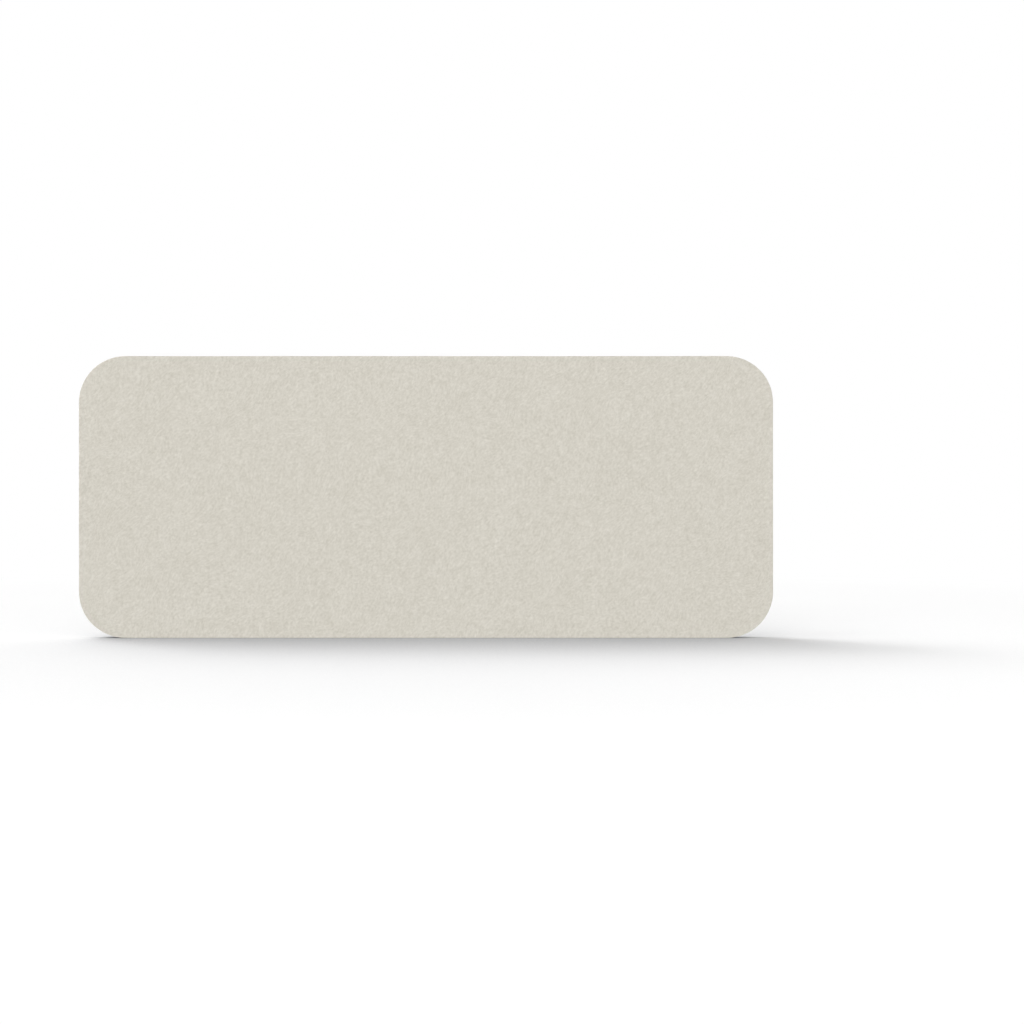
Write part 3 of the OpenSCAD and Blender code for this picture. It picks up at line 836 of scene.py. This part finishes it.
def cover_rings(columns, rows):
    """The rings that turn a cover over the edge and back: (inset, depth, away, forward, share).

    Each border vertex has a section of inset against depth behind the face. From the fold it runs
    down the edge, turns in at the seam on a quarter ellipse, follows the seam allowance (or, under
    the base strip, the pressed hem) to its end, and comes back up the inside to the inner face.
    (away, forward) is the section's normal on the outer side, and share is the relief's there.
    """
    middles, across, _ = columns
    bottom = (middles + corner_radius * across)[:-1]
    # The other borders count as lying past the strip's ends.
    border_x = np.concatenate([bottom, np.full(2 * rows + len(middles) - 1, 2 * half_width)])
    x = np.abs(border_x)
    tip = np.clip(x - strip_pocket_end_centre, 0, None)
    pocket = np.sqrt(np.clip(strip_pocket_half_width**2 - tip**2, 0, None))
    pocket = np.maximum(pocket, seam_parting)
    pressed = smoothstep(x, press_from, press_to)
    hem = smoothstep(x, hem_from, hem_to)
    flange = smoothstep(x, allowance_from, allowance_to)
    off_insert = np.abs(border_x[:, None] - insert_xs).min(1)
    notch = np.sqrt(np.clip(insert_notch_radius**2 - off_insert**2, 0, None))
    edge = np.maximum(notch, hem_end)
    turn_in = blend(seam_radius, hem_thickness + hem_slack, pressed)
    turn_along = blend(seam_radius, hem_turn, pressed)
    end_inset = felt_thickness + allowance_width * flange

    zero = np.zeros_like(x)
    sections = []
    for angle in np.linspace(0, math.pi / 2, fold_steps + 1)[1:]:
        away, forward = math.sin(angle), math.cos(angle)
        sections.append((fold_radius * (1 - away) + zero,
                         -face_y + fold_radius * (1 - forward) + zero, away, forward, 1.0))
    lip = -(pocket + turn_along)
    for share in edge_shares:
        sections.append((zero, blend(-face_y + fold_radius, lip, share), 1.0, 0.0, 1 - share))
    for angle in np.linspace(0, math.pi / 2, seam_steps + 1)[1:]:
        sections.append((turn_in * (1 - math.cos(angle)),
                         lip + turn_along * math.sin(angle), 0.0, 0.0, 0.0))
    end_out = (blend(end_inset, turn_in, hem), blend(-seam_parting, -edge, hem))
    end_in = (blend(end_inset, felt_thickness, hem), blend(-allowance_thickness, -edge, hem))
    root = (felt_thickness + zero,
            blend(-allowance_thickness - allowance_root * (1 - flange), -edge - hem_root, hem))
    back = (felt_thickness + zero, felt_thickness - face_y + zero)
    stops = [(turn_in, -pocket), end_out, end_in, root, back]
    for start, end, steps in zip(stops[:-1], stops[1:], inside_steps):
        for step in range(1, steps + 1):
            inset, depth = (blend(a, b, step / steps) for a, b in zip(start, end))
            sections.append((inset, depth, 0.0, 0.0, 0.0))
    return sections[:-1]


def felt_cover(name, face, seed, finish):
    """One cover, at the front (face -1) or the rear (face 1), as a closed skin with a rim.

    A border vertex at inset p lies at anchor + (corner_radius - p) * outward, where the anchor is
    the point of the outline's skeleton nearest to it. The relief moves the outer side along its
    normal, fades out down the edge and keeps clear of the floor. The attribute along_edge is the
    distance along the edge from the bottom left corner, for the seam's puckers.
    """
    even = even_columns(column_step)
    notch_xs = (insert_xs[:, None] + insert_notch_radius * notch_stations).ravel()
    clear = np.abs(even[:, None] - notch_xs).min(1) > column_step / column_crowding
    columns = grid_columns(np.sort(np.concatenate([even[clear], notch_xs])), corner_columns)
    outer = face_points(columns, face_rows, fold_radius, -face_y)
    inner = face_points(columns, face_rows, felt_thickness, felt_thickness - face_y)
    anchors = rim_of(face_points(columns, face_rows, corner_radius, 0))
    outward = (rim_of(face_points(columns, face_rows, 0, 0)) - anchors) / corner_radius
    outer[..., 1] -= relief(outer, seed)
    clear_of_floor = 1 - np.clip(-outward[:, 2], 0, 1)
    rings = []
    for inset, depth, away, forward, share in cover_rings(columns, face_rows):
        ring = anchors + (corner_radius - inset)[:, None] * outward
        ring[:, 1] = depth
        lift = share * relief(ring, seed)
        ring += (away * lift * clear_of_floor)[:, None] * outward
        ring[:, 1] -= forward * lift
        rings.append(ring)
    rings = np.array(rings)
    for points in (outer, rings, inner):
        points[..., 1] *= -face
    cover = skin(name, outer, rings, inner, finish, turned=face > 0)

    fold_end = rings[fold_steps - 1]
    lengths = np.linalg.norm(np.diff(np.vstack([fold_end, fold_end[:1]]), axis=0), axis=1)
    along = np.concatenate([[0], np.cumsum(lengths)[:-1]])
    count = outer.shape[0] * outer.shape[1]
    values = np.zeros(len(cover.data.vertices))
    values[rim_of(np.arange(count).reshape(outer.shape[:2]))] = along
    values[count:count + rings.shape[0] * rings.shape[1]] = np.tile(along, rings.shape[0])
    cover.data.attributes.new("along_edge", "FLOAT", "POINT").data.foreach_set("value", values)
    return cover


def fibre_mat(graph):
    """Short fibres that lie every way in the felt: the highest of noises drawn out and turned."""
    mat = None
    for layer in range(mat_layers):
        drawn = pattern(
            graph, (mat_step * layer, 0.13, 0.29), mat_fibre_width, detail=0.0,
            distortion=mat_fibre_waver, stretch=(mat_fibre_stretch, 1, 1),
            turn=(0.2, mat_turn * layer, 0.1))
        mat = drawn if mat is None else mat.math("MAXIMUM", drawn)
    return mat


def combed(graph):
    """Tufts of fibre that lean one way, and the painted light on them: the upper side of each tuft
    painted brighter and the lower side painted darker, as if lit from above.

    They are noise stretched along comb_lean, on coordinates that a slow noise pushes aside, so
    that the direction wanders. The painted light is that noise less itself one flank_shift up
    across the lean.
    """
    place = graph.node("ShaderNodeTexCoord", {}, {}, "Object")
    push = graph.node("ShaderNodeTexNoise", {}, {
        "Vector": place, "Scale": 1 / comb_wander_size, "Detail": 2.0}, "Color")
    push = graph.node("ShaderNodeVectorMath", {"operation": "SUBTRACT"}, {
        0: push, 1: (0.5, 0.5, 0.5)})
    push = graph.node("ShaderNodeVectorMath", {"operation": "SCALE"}, {
        0: push, "Scale": comb_wander})
    place = graph.node("ShaderNodeVectorMath", {"operation": "ADD"}, {0: place, 1: push})
    tufts, above = (
        pattern(graph, (0.3 + shift * math.sin(comb_lean), 0.1, 0.7 - shift * math.cos(comb_lean)),
                tuft_width, stretch=(tuft_stretch, 1, 1), turn=(0, -comb_lean, 0), drawn_on=place)
        for shift in (0, flank_shift))
    return tufts, tufts - above


def felt_finish(name):
    """Mottled wool felt: combed tufts with painted light and shade on their sides, clumps of four
    sizes, stray fibres, a fibre mat and a nap.

    Beside the seam it puckers between the stitches.
    """
    graph = Graph(bpy.data.materials.new(name))
    tufts, painted_flank_light = combed(graph)
    # Painted highlight and painted shade on the tufts' sides go into the felt's tone here.
    tone = (tufts - 0.5) * tuft_share + painted_flank_light * painted_flank_light_share + 0.5
    for place, size, share in clump_layers:
        tone = (pattern(graph, place, size, detail=0.0) - 0.5) * share + tone
    mat = fibre_mat(graph)
    tone = (tone + stray_fibres(graph, *felt_pale_fibres)
            - stray_fibres(graph, *felt_dark_fibres) + (mat - mat_middle) * mat_share)
    nap = pattern(graph, (3.7, 2.2, 6.1), nap_size, detail=3.0, roughness=0.7)
    along = graph.node("ShaderNodeAttribute", {"attribute_name": "along_edge"}, {}, "Fac")
    to_seam = coordinate(graph, "Y").math("ABSOLUTE")
    near_seam = 1 - step_between(graph, to_seam, 0.0, seam_pucker_width)
    puckers = (along * (math.tau / stitch_pitch)).math("COSINE") * near_seam
    rough = bumped(graph, nap * nap_share + mat, felt_relief, felt_relief_strength)
    surface = graph.node("ShaderNodeBump", {}, {
        "Height": puckers, "Distance": seam_pucker_depth, "Strength": 1.0, "Normal": rough})
    return finished(
        graph, mix(graph, tone, felt_dark, felt_pale), felt_roughness, surface, felt_gloss,
        Sheen_Weight=felt_sheen, Sheen_Roughness=felt_sheen_roughness)


wool_felt = felt_finish("wool_felt")
covers = {}
for side, face, seed in (("front", -1, 11), ("rear", 1, 23)):
    covers[side] = felt_cover(f"{side}_felt_cover", face, seed, wool_felt)
    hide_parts(f"{side}_felt")


# The seam is sewn with a strong thread of the felt's colour, before the covers are turned right
# side out. Where it pulls the two folds together, its rungs cross the groove between them.
thread_radius = 0.0002
rung_half_length = 0.0008
rung_inset, rung_dip = 0.00028, 0.0006
rung_slant = 0.0004
rung_sides = 6
rung_stations = np.array([-1, -0.88, 0, 0.88, 1])
thread_pale = (0.70, 0.66, 0.575, 1)
thread_dark = (0.56, 0.525, 0.45, 1)
twist_size, twist_relief = 0.0003, 0.00008
thread_roughness, thread_gloss = 0.7, 0.3


def seam_places(distances):
    """Anchors and outward directions at distances along the seam, foot to foot over the top.

    Over each quarter circle and each straight run, the anchor's x and z and the outward
    direction's angle change evenly.
    """
    quarter = corner_radius * math.pi / 2
    ends = np.cumsum([0, quarter, straight_height, quarter, straight_width, quarter,
                      straight_height, quarter])
    x = np.interp(distances, ends, np.array([-1, -1, -1, -1, 1, 1, 1, 1]) * straight_width / 2)
    z = np.interp(distances, ends, np.array([-1, -1, 1, 1, 1, 1, -1, -1]) * straight_height / 2)
    angle = np.interp(distances, ends, np.radians([270, 180, 180, 90, 90, 0, 0, -90]))
    anchors = np.stack([x, 0 * x, middle_z + z], -1)
    return anchors, np.stack([np.cos(angle), 0 * x, np.sin(angle)], -1)


def capped_tube(rings, sides):
    """Triangles of a tube whose points come as its first pole, its rings and its last pole."""
    numbers = 1 + np.arange(rings * sides).reshape(rings, sides)
    on = np.roll(numbers, -1, 1)
    last = rings * sides + 1
    first_cap = np.stack([0 * on[0], on[0], numbers[0]], -1)
    last_cap = np.stack([0 * on[0] + last, numbers[-1], on[-1]], -1)
    below = np.stack([numbers[:-1], on[:-1], on[1:]], -1).reshape(-1, 3)
    above = np.stack([numbers[:-1], on[1:], numbers[1:]], -1).reshape(-1, 3)
    return np.vstack([first_cap, below, above, last_cap])


# At station s, from -1 to 1 along a rung, and angle a round it, a point lies corner_radius -
# rung_inset - rung_dip s^2 + thread_radius cos a outward from the anchor, rung_slant s +
# thread_radius sin a onward along the seam, and rung_half_length s to the rear.
seam_length = math.tau * corner_radius + 2 * straight_height + straight_width
rung_count = round(seam_length / stitch_pitch)
anchors, outward = seam_places((np.arange(rung_count) + 0.5) * seam_length / rung_count)
onward = np.stack([outward[:, 2], 0 * outward[:, 0], -outward[:, 0]], -1)
stations = np.concatenate([
    rung_stations[:1], np.repeat(rung_stations[1:-1], rung_sides), rung_stations[-1:]])
spin = np.tile(np.arange(rung_sides) * math.tau / rung_sides, len(rung_stations) - 2)
reach_out = np.concatenate([[0], thread_radius * np.cos(spin), [0]])
reach_on = np.concatenate([[0], thread_radius * np.sin(spin), [0]])
from_anchor = corner_radius - rung_inset - rung_dip * stations**2 + reach_out
along_seam = rung_slant * stations + reach_on
rungs = (anchors[:, None, :] + from_anchor[:, None] * outward[:, None, :]
         + along_seam[:, None] * onward[:, None, :]
         + (rung_half_length * stations)[:, None] * np.array([0, 1, 0]))
rung_faces = (np.arange(rung_count)[:, None, None] * rungs.shape[1]
              + capped_tube(len(rung_stations) - 2, rung_sides))

graph = Graph(bpy.data.materials.new("sewing_thread"))
twist = pattern(graph, (0.3, 0.6, 0.1), twist_size, detail=2.0)
thread_finish = finished(
    graph, mix(graph, twist, thread_dark, thread_pale), thread_roughness,
    bumped(graph, twist, twist_relief), thread_gloss)
seam_thread = solid("seam_thread", rungs.reshape(-1, 3), rung_faces.reshape(-1, 3), thread_finish)

for side, cover in covers.items():
    [seam_thread] if side == "front" else []


# Wire staples of zinc-plated steel hold each open hem to the bottom rail, and the base strip
# covers their crowns.
zinc_pale = (0.62, 0.62, 0.65, 1)
zinc_dull = (0.42, 0.42, 0.45, 1)
zinc_patch, zinc_roughness = 0.0022, 0.28
zinc_steel = plated("zinc_plated_steel", zinc_pale, zinc_dull, zinc_patch, zinc_roughness)
finish_nodes(["hem_staples"], zinc_steel)


# The base strip closes the hems and is what the screen stands on: a flat bar of grey-beige plastic
# with round ends and a fine moulded grain, rubbed a little smoother in patches.
strip_pale = (0.50, 0.47, 0.412, 1)
strip_dark = (0.425, 0.398, 0.345, 1)
moulded_grain_size, moulded_grain_share = 0.0005, 0.4
clouding_size, clouding_share = 0.03, 0.6
rub_size, rub_from, rub_to = 0.02, 0.45, 0.7
strip_roughness, rub_polish, strip_gloss = 0.56, 0.14, 0.45
strip_relief = 0.00006

graph = Graph(bpy.data.materials.new("grained_plastic"))
grain = pattern(graph, (0.4, 0.7, 0.2), moulded_grain_size, detail=2.0, roughness=0.6)
clouding = pattern(graph, (0.1, 0.2, 0.8), clouding_size, detail=2.0)
wear = pattern(graph, (0.8, 0.4, 0.1), rub_size, detail=3.0, roughness=0.6)
rubbed = step_between(graph, wear, rub_from, rub_to)
strip_tone = grain * moulded_grain_share + clouding * clouding_share
finish_nodes(["base_strip"], finished(
    graph, mix(graph, strip_tone, strip_dark, strip_pale), strip_roughness - rubbed * rub_polish,
    bumped(graph, grain, strip_relief), strip_gloss))


# Countersunk zinc-plated screws hold the strip to the bottom rail, their heads flush with its
# underside.
finish_nodes(["base_strip_screws"], zinc_steel)
